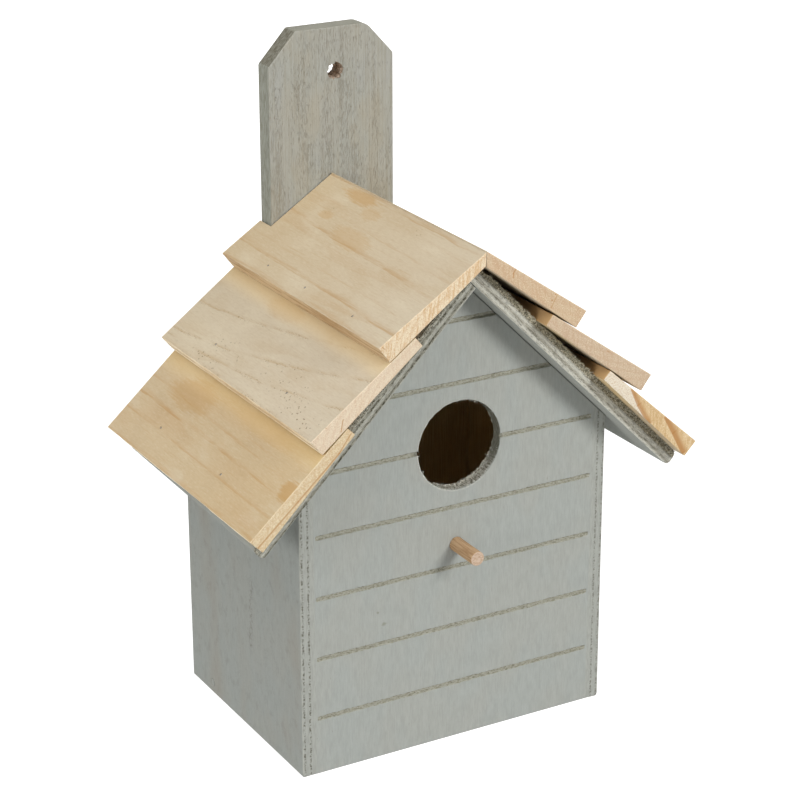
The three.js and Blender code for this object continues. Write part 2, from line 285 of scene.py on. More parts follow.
def grey_wash(wood, along, light=(171, 175, 169), dark=(157, 160, 154), worn=(120, 116, 98),
              bare_share=0.5):
    """Thin paint over veneer: streaks, slow clouds, and short pores where it didn't take."""
    fine = wood.noise(drawn_out(along, 1.9, 0.22), 4, 0.7)
    mottle = wood.noise(drawn_out(along, 0.45, 0.16), 3, 0.6)
    cloud = wood.noise(drawn_out(along, 0.06, 0.035))
    pores = wood.noise(drawn_out(along, 2.6, 0.38), 2, 0.6)
    open_pores = wood.rise(pores, 0.64, 0.78) * wood.rise(mottle, 0.42, 0.62)
    colour = wood.over(
        wood.graded(fine * 0.6 + mottle * 0.4, 0.34, 0.66, dark, light),
        (wood.graded(cloud, 0.4, 0.62, (167, 167, 160), (164, 168, 164)), 0.4),
        (worn, open_pores * bare_share))
    return colour, fine * 0.6 - open_pores


def bare_veneer(wood, along):
    """Unpainted plywood, as it is inside the house."""
    fine = wood.noise(drawn_out(along, 2.2, 0.07), 3, 0.6)
    return wood.graded(fine, 0.3, 0.7, (222, 196, 152), (238, 218, 180))


def ply_sheet(columns, rows, place):
    """A sheet of squares, each corner put where the given function says."""
    mesh = bmesh.new()
    bmesh.ops.create_grid(mesh, x_segments=columns, y_segments=rows, size=0.5)
    for vert in mesh.verts:
        vert.co = place(vert.co.x + 0.5, vert.co.y + 0.5)
    return mesh


def grow(mesh):
    """Extrudes a mesh's faces, and gives the new corners, which still lie on the old ones."""
    grown = bmesh.ops.extrude_face_region(mesh, geom=mesh.faces[:])["geom"]
    return [item for item in grown if isinstance(item, bmesh.types.BMVert)]


def face_outwards(mesh):
    bmesh.ops.recalc_face_normals(mesh, faces=mesh.faces[:])


def everything(mesh):
    return mesh.verts[:] + mesh.edges[:] + mesh.faces[:]


def trim(mesh, point, outwards, fill=True):
    """Cuts off what lies beyond a plane, and closes the cut."""
    bmesh.ops.bisect_plane(mesh, geom=everything(mesh), plane_co=point, plane_no=outwards,
                           clear_outer=True)
    if fill:
        bmesh.ops.holes_fill(mesh, edges=mesh.edges[:])


def trim_under_roof(mesh, sides=(-1, 1), fill=True):
    """Cuts a mesh off along the slopes, a glue line below the roof panels."""
    for side in sides:
        trim(mesh, (0, 0, wall["peak"] - glue_line * math.sqrt(2)), (side, 0, 1), fill)


def make_piece(name, mesh, *materials):
    """Turns a mesh in the house's millimetres into an object of the part."""
    bmesh.ops.transform(mesh, matrix=house_to_part, verts=mesh.verts)
    data = bpy.data.meshes.new(name)
    mesh.to_mesh(data)
    mesh.free()
    for material in materials:
        data.materials.append(material)
    return link_new(name, data)


def cut_away(piece, cutter):
    """Cuts a mesh in the house's millimetres out of a piece."""
    knife = make_piece("knife", cutter)
    cut = piece.modifiers.new("cut", "BOOLEAN")
    cut.object, cut.solver = knife, "EXACT"
    graph = bpy.context.evaluated_depsgraph_get()
    shaped = bpy.data.meshes.new_from_object(piece.evaluated_get(graph))
    piece.modifiers.clear()
    piece.data, shaped.name = shaped, piece.data.name
    bpy.data.objects.remove(knife)


def jitter(x, z, size, seed=0):
    """A small push, the same each run, that changes over so many millimetres."""
    return noise.noise(Vector((x / size, z / size, seed)))


# The front mesh's rows, each a height, a depth and whether it is ragged: three at the worn foot,
# five to a groove, three on the wood between two grooves, and two above them all
foot, rim, bed, depth = wall["worn"], groove["half_width"], groove["half_floor"], groove["depth"]
rows = [(0, foot, 0), (foot * 0.3, foot * 0.3, 0), (foot, 0, 0)]
for number, middle in enumerate(grooves):
    if number:
        start = grooves[number - 1] + rim
        rows += [(start + (middle - rim - start) * share, 0, 0) for share in (0.25, 0.5, 0.75)]
    rows += [(middle - rim, 0, 1), (middle - bed, depth, 1), (middle, depth, 1),
             (middle + bed, depth, 1), (middle + rim, 0, 1)]
rows += [(grooves[-1] + 8, 0, 0), (wall["peak"] + 1, 0, 0)]


def groove_place(across, up):
    """A corner of the front, with torn grooves that run out before the side walls."""
    x = (across - 0.5) * 2 * inner
    height, depth, ragged = rows[round(up * (len(rows) - 1))]
    height += ragged * (0.16 * jitter(x, height, 0.9) + 0.1 * jitter(x, height, 3, 5))
    if depth and ragged:
        depth += 0.22 * jitter(x, height, 0.8, 9) + 0.1 * jitter(x, height, 5, 2)
        depth *= min(max((inner - abs(x)) / groove["run_out"] - 0.2, 0), 1)
    return Vector((x, depth, height))


front_mesh = ply_sheet(groove["columns"], len(rows) - 1, groove_place)
trim_under_roof(front_mesh, fill=False)
for vert in grow(front_mesh):
    vert.co.y = ply
face_outwards(front_mesh)


def bore(start, direction, rings, segments=24, ragged=0, seed=0):
    """A cutter for a round hole, from rings of (distance, radius, how rough) along a direction."""
    mesh = bmesh.new()
    turn = Vector(direction).to_track_quat("Z", "Y").to_matrix().to_4x4()
    place = Matrix.Translation(start) @ turn
    last = None
    for along, radius, rough in rings:
        ring = bmesh.ops.create_circle(mesh, segments=segments, radius=radius)["verts"]
        for vert in ring:
            angle = math.atan2(vert.co.y, vert.co.x)
            tear = jitter(math.cos(angle) * ragged, math.sin(angle) * ragged, 1, seed + along)
            reach = radius + rough * tear
            vert.co = place @ Vector((reach * math.cos(angle), reach * math.sin(angle), along))
        edges = [edge for edge in mesh.edges if all(v in ring for v in edge.verts)]
        if last:
            bmesh.ops.bridge_loops(mesh, edges=last + edges)
        last = edges
    bmesh.ops.holes_fill(mesh, edges=mesh.edges[:])
    face_outwards(mesh)
    return mesh


def splinter(mesh, root, lean, length, radius):
    """A torn fibre that stands up from its root."""
    turn = lean.to_track_quat("Z", "Y").to_matrix().to_4x4()
    place = Matrix.Translation(root + lean.normalized() * length * 0.4) @ turn
    bmesh.ops.create_cone(mesh, cap_ends=True, segments=3, radius1=radius, radius2=radius * 0.2,
                          depth=length, matrix=place)


def add_to(piece, extra):
    """Adds a mesh in the house's millimetres to a piece."""
    bmesh.ops.transform(extra, matrix=house_to_part, verts=extra.verts)
    added = bpy.data.meshes.new("added")
    extra.to_mesh(added)
    extra.free()
    whole = bmesh.new()
    whole.from_mesh(piece.data)
    whole.from_mesh(added)
    whole.to_mesh(piece.data)
    whole.free()
    bpy.data.meshes.remove(added)


wood = Wood("grey wash on the front")
paint, relief = grey_wash(wood, 2, (173, 177, 171), (154, 157, 151), bare_share=0.6)
fibre = wood.noise((0.8, 1.2, 2.4), 3, 0.7)

# The grooves: torn and pale, with a dark upper rim and dark flecks
half_spacing = groove["spacing"] / 2
above_groove = wood.z.math("WRAP", wood.z, grooves[0] - half_spacing, grooves[0] + half_spacing) - grooves[0]
upper_rim = wood.rise(above_groove + (fibre - 0.5) * 0.8, 0.2, 0.6)
flecks = wood.rise(wood.noise((1.1, 1.5, 2.2), 3, 0.7) + upper_rim * 0.15, 0.58, 0.66)
torn = wood.over(wood.graded(fibre, 0.34, 0.62, (141, 139, 122), (176, 175, 162)),
                 ((128, 126, 108), upper_rim * 0.45),
                 ((84, 80, 62), flecks * 0.55))
hole_x, hole_z = wood.x - entrance["x"], wood.z - entrance["z"]
off_hole = wood.away(hole_x, hole_z)
in_groove = wood.rise(wood.y, 0.02, 0.3) * (abs(above_groove) < 1.5)
in_groove = in_groove * (wood.z > groove["first"] / 2) * (off_hole > entrance["radius"] + 0.3)
raw = wood.rise(fibre + in_groove * 0.7 - 0.3, 0.3, 0.42) * in_groove
paint = wood.blend(paint, torn, raw)

# Two smudges, and a painted highlight on the entrance's rim at its lower left
for smudge_x, smudge_z, reach in ((-28.3, 50.6, 1.3), (-30.7, 55.3, 0.7)):
    off_smudge = wood.away(wood.x - smudge_x, (wood.z - smudge_z) * 1.3)
    smudge = wood.rise(off_smudge + (fibre - 0.5) * 1.6, reach, reach * 0.3)
    paint = wood.blend(paint, (128, 130, 110), smudge * 0.55)
painted_rim_highlight = wood.rise(off_hole, entrance["radius"] + 0.6, entrance["radius"] + 0.2)
painted_rim_highlight = painted_rim_highlight * (wood.y < 0.4) * wood.rise(fibre, 0.42, 0.6)
painted_rim_highlight = painted_rim_highlight * wood.rise(hole_x + hole_z, 4, -8)

# The entrance's wall: layered plywood, with fibres across it at the bottom
in_hole = (off_hole < entrance["radius"] + 1.2) * wood.rise(wood.y, 0.1, 0.5)
layers = wood.noise((0.7, 3.2, 0.7), 2, 0.6)
round_hole = hole_z.math("ARCTAN2", hole_z, hole_x) * entrance["radius"]
fuzz = wood.noise((2.4, 0.35, 1), 3, 0.75, wood.spot(round_hole, wood.y, 0))
low_in_hole = wood.rise(hole_z - hole_x * 0.4 + (fibre - 0.5) * 4, -10, -18)
hole_wall = wood.over(wood.graded(layers, 0.35, 0.62, (106, 105, 93), (140, 140, 128)),
                      (wood.graded(fuzz, 0.4, 0.6, (112, 109, 94), (212, 209, 197)), low_in_hole * 0.85))
standing = in_hole * wood.rise(off_hole, entrance["radius"] - 0.12, entrance["radius"] - 0.4)
paint = wood.over(paint,
                  ((208, 207, 196), painted_rim_highlight * 0.75),
                  (bare_veneer(wood, 2), wood.y > ply - 0.15),
                  (hole_wall, in_hole),
                  ((228, 225, 212), standing))
front_material = wood.coat(paint, 0.8, relief + fibre * in_groove * 2, 0.06)

front_board = make_piece("front_board", front_mesh, front_material)
into_wall, radius, hole = (0, 1, 0), entrance["radius"], perch["hole"]
cut_away(front_board, bore((entrance["x"], 0, entrance["z"]), into_wall, [
    (-1, radius, 0.1), (0.15, radius, 0.2), (1.2, radius - 0.05, 0.1), (3.9, radius - 0.1, 0.15),
    (4.5, radius - 0.1, 0.5), (5.0, radius + 0.4, 0.6), (6.5, radius + 0.8, 0.6)],
    segments=entrance["facets"], ragged=9, seed=3))
cut_away(front_board, bore((perch["x"], 0, perch["z"]), into_wall, [
    (-1, hole, 0.05), (0.1, hole, 0.1), (6.5, hole, 0.05)], segments=40, ragged=3, seed=7))

# Fibres that the bit tore out, in tufts of (direction, spread, number): thickest at the lower
# right, the bottom and the top
tufts = ((-0.85, 0.28, 210), (-1.6, 0.35, 170), (1.35, 0.35, 60), (-1.4, 2.8, 50))
torn_rim = bmesh.new()
draw = random.Random(4)
for turn_at, spread, count in tufts:
    for _ in range(count):
        angle = turn_at + draw.gauss(0, 1) * spread
        out = Vector((math.cos(angle), 0, math.sin(angle)))
        depth = draw.choice((draw.uniform(0.05, 0.5), draw.uniform(2.5, 4.5), draw.uniform(3.8, 4.5)))
        root = Vector((entrance["x"], depth, entrance["z"])) + out * (entrance["radius"] + 0.05)
        lean = -out + Vector((draw.uniform(-1, 1), draw.uniform(-0.3, 0.3), draw.uniform(-1, 1)))
        splinter(torn_rim, root, lean, draw.uniform(0.5, 1.3), draw.uniform(0.1, 0.2))
add_to(front_board, torn_rim)
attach(front_board, "house")
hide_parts("front_wall")


# Perch
# A short dowel of bare hardwood, sawn off square, with its edge just broken. It is pushed through
# its own hole below the entrance, flush with the inside of the front wall.


def soften(mesh, edges, width, segments=2):
    bmesh.ops.bevel(mesh, geom=edges, offset=width, offset_type="OFFSET", segments=segments,
                    profile=0.5, affect="EDGES", material=-1)


def plane_edges(mesh, axis, value):
    """The edges that lie in a plane across an axis."""
    return [e for e in mesh.edges if all(abs(v.co[axis] - value) < 0.01 for v in e.verts)]


dowel = bmesh.new()
disc = bmesh.ops.create_circle(dowel, segments=perch["facets"], radius=perch["radius"],
                               cap_ends=True)["verts"]
lying = Matrix.Translation((perch["x"], ply, perch["z"])) @ Matrix.Rotation(math.pi / 2, 4, "X")
bmesh.ops.transform(dowel, matrix=lying, verts=disc)
bmesh.ops.translate(dowel, vec=(0, -ply - perch["reach"], 0), verts=grow(dowel))
face_outwards(dowel)
soften(dowel, plane_edges(dowel, 1, -perch["reach"]), perch["worn"])

wood = Wood("bare dowel")
streak = wood.noise((2.2, 0.12, 2.2), 3, 0.6)
rings = wood.noise((0.8, 0.2, 2.4), 2, 0.6)
paint = wood.over(wood.graded(streak, 0.32, 0.66, (168, 132, 96), (200, 168, 132)),
                  (wood.graded(rings, 0.35, 0.6, (182, 152, 128), (204, 182, 160)),
                   wood.y < -perch["reach"] + 0.12))
perch_dowel = make_piece("perch_dowel", dowel, wood.coat(paint, 0.6, streak, 0.05))
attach(perch_dowel, "house")
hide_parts("perch")


# Side walls
# Two plywood boards outside the front and back walls. Their front edges show beside the front
# wall, with the veneers' glue lines as rows of dark dots under the wash. Each is bored for a pin.

floor_pin = {"y": 71, "z": 4.15, "head": 1.3, "head_depth": 1.2, "shank": 0.9, "length": 18.5,
             "play": 0.15}
side_edges = {"worn": 0.6, "round_foot": 1.5, "glue_at": (0.85, 3.1), "skin": 0.45}
dot_strength = {-1: 0.85, 1: 0.6}


def slab(low, high):
    """A block between two corners."""
    mesh = bmesh.new()
    low, high = Vector(low), Vector(high)
    shape = Matrix.Translation((low + high) / 2) @ Matrix.Diagonal((*(high - low), 1))
    bmesh.ops.create_cube(mesh, size=1, matrix=shape)
    return mesh


def is_sharp(edge):
    return edge.calc_face_angle(0) > 0.5


def glue_dots(wood, across, lines, along):
    """The dark dotted lines that veneers leave along a board's edge."""
    broken = wood.noise(along, 3, 0.7)
    drift = wood.noise([rate * 0.15 for rate in along], 1)
    total = None
    for line in lines:
        off = abs(across - line + (broken - 0.5) * 1.4 + (drift - 0.5) * 0.5)
        dots = wood.rise(off, 0.5, 0.15) * wood.rise(broken, 0.47, 0.57)
        total = total.or_more(dots) if total else dots
    return total


def pin_hole(side):
    """A cutter for a floor pin's head and shank, from a side wall's outer face."""
    head, shank = floor_pin["head"] + floor_pin["play"], floor_pin["shank"] + floor_pin["play"]
    return bore((side * wall["half_width"], floor_pin["y"], floor_pin["z"]), (-side, 0, 0), [
        (-1, head, 0), (0, head, 0), (floor_pin["head_depth"], shank, 0), (floor_pin["length"], shank, 0)])


for side, name in ((-1, "left"), (1, "right")):
    outer = side * wall["half_width"]
    top = wall["peak"] - inner
    mesh = slab((min(outer, side * inner), 0, 0), (max(outer, side * inner), wall["depth"], top))
    outside, below = plane_edges(mesh, 0, outer), plane_edges(mesh, 2, 0)
    if side > 0:
        soften(mesh, [e for e in outside if e in below], side_edges["round_foot"], segments=5)
        outside, below = plane_edges(mesh, 0, outer), plane_edges(mesh, 2, 0)
    worn = [e for e in mesh.edges if (e in outside or e in below) and is_sharp(e)]
    worn = [e for e in worn if not all(v.co.z > top - 0.1 for v in e.verts)]
    soften(mesh, worn, side_edges["worn"], segments=3)
    trim_under_roof(mesh, [side])

    wood = Wood(f"grey wash on the {name} side")
    paint, relief = grey_wash(wood, 2)
    from_outside = wall["half_width"] - wood.x * side
    on_edge = (wood.y < side_edges["skin"]).or_more(wood.y > wall["depth"] - side_edges["skin"])
    on_face = 1 - on_edge
    edge_grain = wood.noise((1.6, 1.6, 0.25), 3, 0.65)
    dots = glue_dots(wood, from_outside, side_edges["glue_at"], (0.9, 0.9, 1.3))
    arris = wood.rise(from_outside, 0.5, 0.1) * wood.rise(wood.y, 0.8, 0.1)
    specks = wood.rise(wood.noise((2.4, 2.4, 1.4), 3, 0.75), 0.55, 0.7)
    grime = wood.rise(wood.noise((0.4, 0.25, 0.2), 4, 0.7), 0.5, 0.68)
    paint = wood.over(
        paint,
        (wood.graded(edge_grain, 0.36, 0.62, (158, 160, 153), (170, 172, 165)), on_edge),
        ((88, 84, 70), dots * on_edge * dot_strength[side]),
        ((192, 192, 182), arris * wood.rise(edge_grain, 0.4, 0.55) * 0.6),
        ((122, 121, 110), specks * on_face * 0.35),
        ((142, 143, 135), grime * on_face * 0.4))
    if side < 0:
        # A faint upright row of dark marks
        row_bend = wood.noise((0, 0.1, 0.1)) - 0.5
        off_row = abs(wood.y - 37.8 + (wood.z - 45) * 0.03 + row_bend * 3)
        row = wood.rise(off_row, 2.2, 0.2) * wood.rise(wood.z, 28, 34) * wood.rise(wood.z, 63, 57)
        marks = wood.rise(wood.noise((1.6, 1.6, 0.7), 3, 0.7), 0.47, 0.6) * row
        paint = wood.blend(paint, (104, 102, 88), marks * 0.5)
    brownish = wood.rise(wood.noise((1, 0.05, 0.02)), 0.5, 0.7)
    bare = (from_outside > ply - 0.1) * (wood.y > ply)
    paint = wood.over(paint,
                      ((160, 152, 138), brownish * on_face * 0.35),
                      (bare_veneer(wood, 2), bare))
    side_board = make_piece(f"{name}_side_board", mesh, wood.coat(paint, 0.8, relief - dots * on_edge, 0.06))
    cut_away(side_board, pin_hole(side))
    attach(side_board, "house")
    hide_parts(f"{name}_wall")


# Back wall
# A plywood gable like the front one but plain, set between the side walls. It is grey-washed
# outside and bare inside, and the hanging board's screws end in it.

board = {"left": -23.9, "right": 25.4, "thickness": 8, "height": 235.4,
         "corner_across": 10.7, "corner_down": 11.7, "worn": 0.55, "worn_corner": 2.2}
board_back = wall["depth"] + board["thickness"]
screw = {"heights": (25, 80, 135), "head": 2.9, "head_depth": 1.7, "shank": 1.5, "length": 12.8,
         "point": 3, "play": 0.15, "worn": 0.15}


def screw_hole(height):
    """A cutter for a countersunk screw, from the hanging board's back."""
    head, shank = screw["head"] + screw["play"], screw["shank"] + screw["play"]
    return bore((0, board_back, height), (0, -1, 0), [
        (-1, head, 0), (0, head, 0), (screw["head_depth"], shank, 0), (screw["length"] + 0.1, shank, 0)])


mesh = slab((-inner, wall["depth"] - ply, 0), (inner, wall["depth"], wall["peak"]))
trim_under_roof(mesh)
soften(mesh, plane_edges(mesh, 2, 0), wall["worn"], segments=3)
wood = Wood("grey wash on the back")
paint, relief = grey_wash(wood, 2)
paint = wood.blend(paint, bare_veneer(wood, 2), wood.y < wall["depth"] - ply + 0.1)
back_panel = make_piece("back_panel", mesh, wood.coat(paint, 0.8, relief, 0.06))
for height in screw["heights"]:
    cut_away(back_panel, screw_hole(height))
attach(back_panel, "house")
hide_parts("back_wall")


# Hanging board
# A thicker plywood board behind the house, with two cut corners and a hole for a nail. Its wash
# is thinner, so the brown veneer shows through, and its open pores are dark. Three screws hold it.

nail_hole = {"x": 2.3, "z": 219.7, "radius": 2.97}
mesh = slab((board["left"], wall["depth"], 0), (board["right"], board_back, board["height"]))
for side, edge in ((-1, board["left"]), (1, board["right"])):
    trim(mesh, (edge, 0, board["height"] - board["corner_down"]),
         (side * board["corner_down"], 0, board["corner_across"]))
top_right = board["right"] - board["corner_across"]
worn_corner = [e for e in mesh.edges
               if all(abs(v.co.x - top_right) < 0.1 and v.co.z > board["height"] - 0.1 for v in e.verts)]
soften(mesh, worn_corner, board["worn_corner"], segments=4)
soften(mesh, [e for e in mesh.edges if is_sharp(e)], board["worn"], segments=3)

wood = Wood("thin grey wash on the hanging board")
paint, relief = grey_wash(wood, 2, (167, 164, 152), (153, 150, 137), (126, 114, 92), 0.3)
patch = wood.noise((0.07, 0.07, 0.028), 3, 0.6)
pores = wood.noise((3.6, 3.6, 0.42), 3, 0.62)
bands = wood.noise((0.2, 0.2, 0.02), 2, 0.6)
open_pores = wood.rise(pores + bands * 0.5, 0.8, 0.92)
hairlines = wood.noise((1.5, 1.5, 0.03), 3, 0.65)
off_front = wood.y - wall["depth"]
edge_grain = wood.noise((0.8, 1.5, 0.22), 4, 0.7)
on_edge = (off_front + (edge_grain - 0.5) * 1.2 > 0.3) * (off_front < board["thickness"] - 0.45)
cut_corner = wood.z > board["height"] - board["corner_down"] + 0.4
cut_corner = cut_corner * (wood.x < board["left"] + board["corner_across"] - 0.3)
edge_paint = wood.over(
    wood.graded(edge_grain, 0.36, 0.62, (138, 138, 124), (166, 167, 156)),
    (wood.graded(edge_grain, 0.36, 0.64, (112, 108, 92), (148, 146, 134)), cut_corner),
    ((146, 144, 130), (wood.z > board["height"] - 0.3) * 0.8))
off_nail = wood.away(wood.x - nail_hole["x"], wood.z - nail_hole["z"])
in_nail_hole = wood.rise(off_nail, nail_hole["radius"] + 0.5, nail_hole["radius"] + 0.15)
in_nail_hole = in_nail_hole * (off_front > 0.25)
paint = wood.over(
    paint,
    ((165, 158, 141), wood.rise(patch, 0.5, 0.66) * 0.5),
    ((160, 161, 157), wood.rise(patch, 0.5, 0.34) * 0.5),
    ((118, 105, 82), open_pores * 0.34),
    ((138, 131, 112), wood.rise(hairlines, 0.5, 0.68) * 0.35),
    ((180, 179, 170), wood.rise(hairlines, 0.5, 0.32) * 0.25),
    (edge_paint, on_edge),
    (wood.graded(edge_grain, 0.35, 0.6, (120, 102, 84), (206, 186, 166)), in_nail_hole))
hanging_board = make_piece("hanging_board", mesh, wood.coat(paint, 0.8, relief - open_pores, 0.08))
cut_away(hanging_board, bore((nail_hole["x"], wall["depth"], nail_hole["z"]), (0, 1, 0), [
    (-1, 3.2, 0.9), (0.4, 3.0, 1.1), (1.5, 2.85, 0.7), (6.5, 2.85, 0.5), (9, 3.2, 0.7)],
    segments=60, ragged=3.5, seed=2))
for height in screw["heights"]:
    cut_away(hanging_board, screw_hole(height))
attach(hanging_board, "house")
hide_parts("back_board")


# Roof panels
# Two plywood slopes. Their front edges are rough-sawn: the veneers show as light and dark layers,
# and the top one's fibres stand up along its edge. The right panel laps over the left one.

slope = {"end": 111.35, "front": -11.6, "back": 88, "round": 1.7, "columns": 460, "rows": 10,
         "sawn_depth": 0.75}
veneer = {"lean": 0.009, "level_at": 10, "thickness": 1.1, "outer_from": 3.9}
brad = {"radius": 0.42, "hole": 0.5}
half_root = math.sqrt(0.5)


def slope_frame(side):
    """Turns s down a slope, y back and n out of it into the house's x, y and z."""
    turned = Matrix(((side * half_root, 0, side * half_root, 0), (0, 1, 0, 0),
                     (-half_root, 0, half_root, 0), (0, 0, 0, 1)))
    return Matrix.Translation((0, 0, wall["peak"])) @ turned


def slope_wires(wood, side):
    """A material's own s and n."""
    above = wood.z - wall["peak"]
    return (wood.x * side - above) * half_root, (wood.x * side + above) * half_root


def cad_points(node):
    """A CAD node's corners in the house's millimetres."""
    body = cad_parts[node]
    to_house = house_to_part.inverted() @ body.matrix_world
    return [to_house @ vert.co for vert in body.data.vertices]


def brad_ends(node):
    """The middles of a brad's point and head."""
    points = sorted(cad_points(node), key=lambda point: point.z)
    low = [point for point in points if (point - points[0]).length < 2]
    high = [point for point in points if (point - points[-1]).length < 2]
    return sum(low, Vector()) / len(low), sum(high, Vector()) / len(high)


def brad_holes(side_name):
    """Cutters for all the brads of one slope."""
    holes = bmesh.new()
    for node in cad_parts:
        if node.startswith(side_name) and "brad" in node:
            foot, head = brad_ends(node)
            length = (head - foot).length
            one = bore(foot, head - foot, [(-0.1, brad["hole"], 0), (length + 1, brad["hole"], 0)],
                       segments=12)
            data = bpy.data.meshes.new("brad_hole")
            one.to_mesh(data)
            one.free()
            holes.from_mesh(data)
            bpy.data.meshes.remove(data)
    return holes


def add_fibres(panel, side, count, tallest, seed):
    """Short torn fibres that stand up along the front edge of the top veneer."""
    draw = random.Random(seed)
    fibres = bmesh.new()
    for _ in range(count):
        s = draw.uniform(0.3, slope["end"] - 1.5)
        lean = Vector((draw.uniform(-1, 1), draw.uniform(-1, 0.1), draw.uniform(0.1, 1)))
        root = Vector((s, slope["front"] + draw.uniform(0.15, 0.7), ply - abs(draw.gauss(0, 0.7))))
        splinter(fibres, root, lean, draw.uniform(0.4, tallest), draw.uniform(0.1, 0.22))
    bmesh.ops.transform(fibres, matrix=slope_frame(side), verts=fibres.verts)
    add_to(panel, fibres)


# The sawn edges: the left one is mostly painted, the right one raw. The left panel's end is sawn
# a little out of square, so its back corner stays under the eave board.
edge_looks = {
    "left": {"start": glue_line, "skew": 1.4, "fibres": 900, "tallest": 0.9, "crest_at": 0.05,
             "crest": (174, 174, 164), "dip": (134, 133, 120), "top": (184, 182, 168),
             "top_shade": (136, 132, 116), "glue_at": (1.15, 3.3), "glue": 0.9, "grains": 0.6,
             "darker_low_end": 0.05},
    "right": {"start": -ply, "skew": 0, "fibres": 2300, "tallest": 1.5, "crest_at": 1.0,
              "crest": (198, 197, 186), "dip": (162, 159, 146), "top": (214, 207, 184),
              "top_shade": (146, 139, 116), "glue_at": (1.9, 4.0), "glue": 0.35, "grains": 0.65,
              "darker_low_end": 0.25},
}


def sawn_edge(side, look):
    """Where a panel's front edge lies, from the shares of the way down the slope and out of it."""

    def edge_place(down, out):
        s, n = look["start"] + down * (slope["end"] - look["start"]), out * ply
        past = s - (slope["end"] - slope["round"])
        if past > 0:
            half = ply / 2
            flat = half - slope["round"] + math.sqrt(max(slope["round"] ** 2 - past ** 2, 0))
            n = half + (n - half) * flat / half
        top = min(max((out - 0.6) / 0.2, 0), 1)
        sunk = 0.15 + (0.12 + 0.3 * top) * (0.5 + jitter(s, n, 0.5, 4 + side))
        if 0 < out < 1:
            n += 0.12 * jitter(s, n, 1.1, 8)
        elif out == 1:
            n -= 0.3 * max(jitter(s, 0, 0.9, 6), 0)
        return Vector((s, slope["front"] + max(sunk, 0), n))

    return edge_place


def edge_colour(wood, s, n, rough, look):
    """Sawn plywood: light and dark layers, which lean a little, under a torn outer one."""
    along = wood.spot(s, wood.y, n)
    fuzz = wood.noise((2.2, 1, 1.2), 3, 0.8, along)
    layers = wood.noise((0.12, 1, 3.4), 3, 0.7, along)
    scratch = wood.noise((0.35, 1, 3.0), 3, 0.8, along)
    long_grains, round_grains = (wood.noise((rate, 1, 2.7), 2, 0.7, along) for rate in (0.6, 2.0))
    sawn = (s - veneer["level_at"]) * veneer["lean"] + n
    off_crest = sawn - look["crest_at"] + (rough - 0.5) * 0.7
    off_crest = n.math("PINGPONG", off_crest, veneer["thickness"])
    outer_ply = wood.rise(
        sawn + (rough - 0.5) * 0.8, veneer["outer_from"], veneer["outer_from"] + 0.4)
    dots = glue_dots(wood, sawn, look["glue_at"], (1.1, 1.1, 1.1))
    grains = long_grains + (round_grains - long_grains) * outer_ply
    dark_grains = wood.rise(grains + outer_ply * 0.05, 0.54, 0.63) * (outer_ply * 0.4 + 0.6)
    light_grains = wood.rise(grains, 0.42, 0.35) * (outer_ply * 0.4 + 0.35)
    standing = wood.rise(wood.y, slope["front"], slope["front"] - 0.3).or_more(
        wood.rise(n, ply, ply + 0.3))
    return wood.over(
        wood.graded(off_crest + (layers - 0.5) * 1.2, 1.0, 0.2, look["dip"], look["crest"]),
        (wood.graded(fuzz, 0.36, 0.62, look["top_shade"], look["top"]), outer_ply),
        # The top veneer darker towards the panel's lower end, more so on the right
        ((84, 78, 60), wood.rise(s, 45, 92) * (outer_ply + 0.1) * look["darker_low_end"]),
        ((62, 60, 48), dots * look["glue"]),
        ((210, 208, 194), wood.rise(scratch, 0.52, 0.68) * 0.4),
        ((92, 88, 74), wood.rise(scratch, 0.48, 0.34) * 0.4),
        ((72, 66, 50), wood.rise(fuzz + rough * 0.4, 0.6, 0.52) * 0.4),
        ((50, 46, 34), dark_grains * look["grains"]),
        ((232, 228, 210), light_grains * look["grains"]),
        ((224, 218, 196), standing))


for side, name in ((-1, "left"), (1, "right")):
    look = edge_looks[name]
    mesh = ply_sheet(slope["columns"], slope["rows"], sawn_edge(side, look))
    for vert in grow(mesh):
        vert.co.y = slope["back"]
        vert.co.x -= look["skew"] * vert.co.x / slope["end"]
    bmesh.ops.transform(mesh, matrix=slope_frame(side), verts=mesh.verts)
    face_outwards(mesh)

    wood = Wood(f"grey wash on the {name} roof panel")
    s, n = slope_wires(wood, side)
    paint, relief = grey_wash(wood, 1)
    rough = wood.noise((0.9, 1, 2.2), 4, 0.75, wood.spot(s, wood.y, n))
    on_edge = wood.y < slope["front"] + slope["sawn_depth"]
    underside = n < 0.1
    half_depth = wall["depth"] / 2
    bare = underside * (abs(wood.x) < inner) * (abs(wood.y - half_depth) < half_depth - ply)
    # The undersides are painted lighter than the wash: painted bounce light from below
    paint = wood.over(paint,
                      (edge_colour(wood, s, n, rough, look), on_edge),
                      ((182, 184, 177), underside * 0.8),
                      (bare_veneer(wood, 1), bare))
    material = wood.coat(paint, 0.85, relief + rough * on_edge * 3, 0.07)
    roof_board = make_piece(f"{name}_roof_board", mesh, material)
    cut_away(roof_board, brad_holes(name))
    add_fibres(roof_board, side, look["fibres"], look["tallest"], seed=11 + side)
    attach(roof_board, "house")
    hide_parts(f"{name}_roof_panel")


# Shingles
# Six tapered boards of bare pine, sawn off straight at their ends, which bear on each other up
# to a mitred ridge. Growth rings run through each board, as lines on its faces and arcs on its
# ends. The ridge and middle boards are cut away round the hanging board.

# On a board's material, u is how far a point is up the top face from its lower edge, and v how
# far above that face. A line runs from back to front, sharp on its lower side and soft above. A
# patch is a stain or a cluster of specks. A mark is a dark stroke on the front end. Late is the
# colour of the rings' dark part, butt the two colours of the lower edge, and hatch how strong the
# saw marks on the ends are.
Line = namedtuple("Line", "at_back at_front bend width strength")
Patch = namedtuple("Patch", "u y reach_u reach_y strength")
Mark = namedtuple("Mark", "start end sharp soft strength")

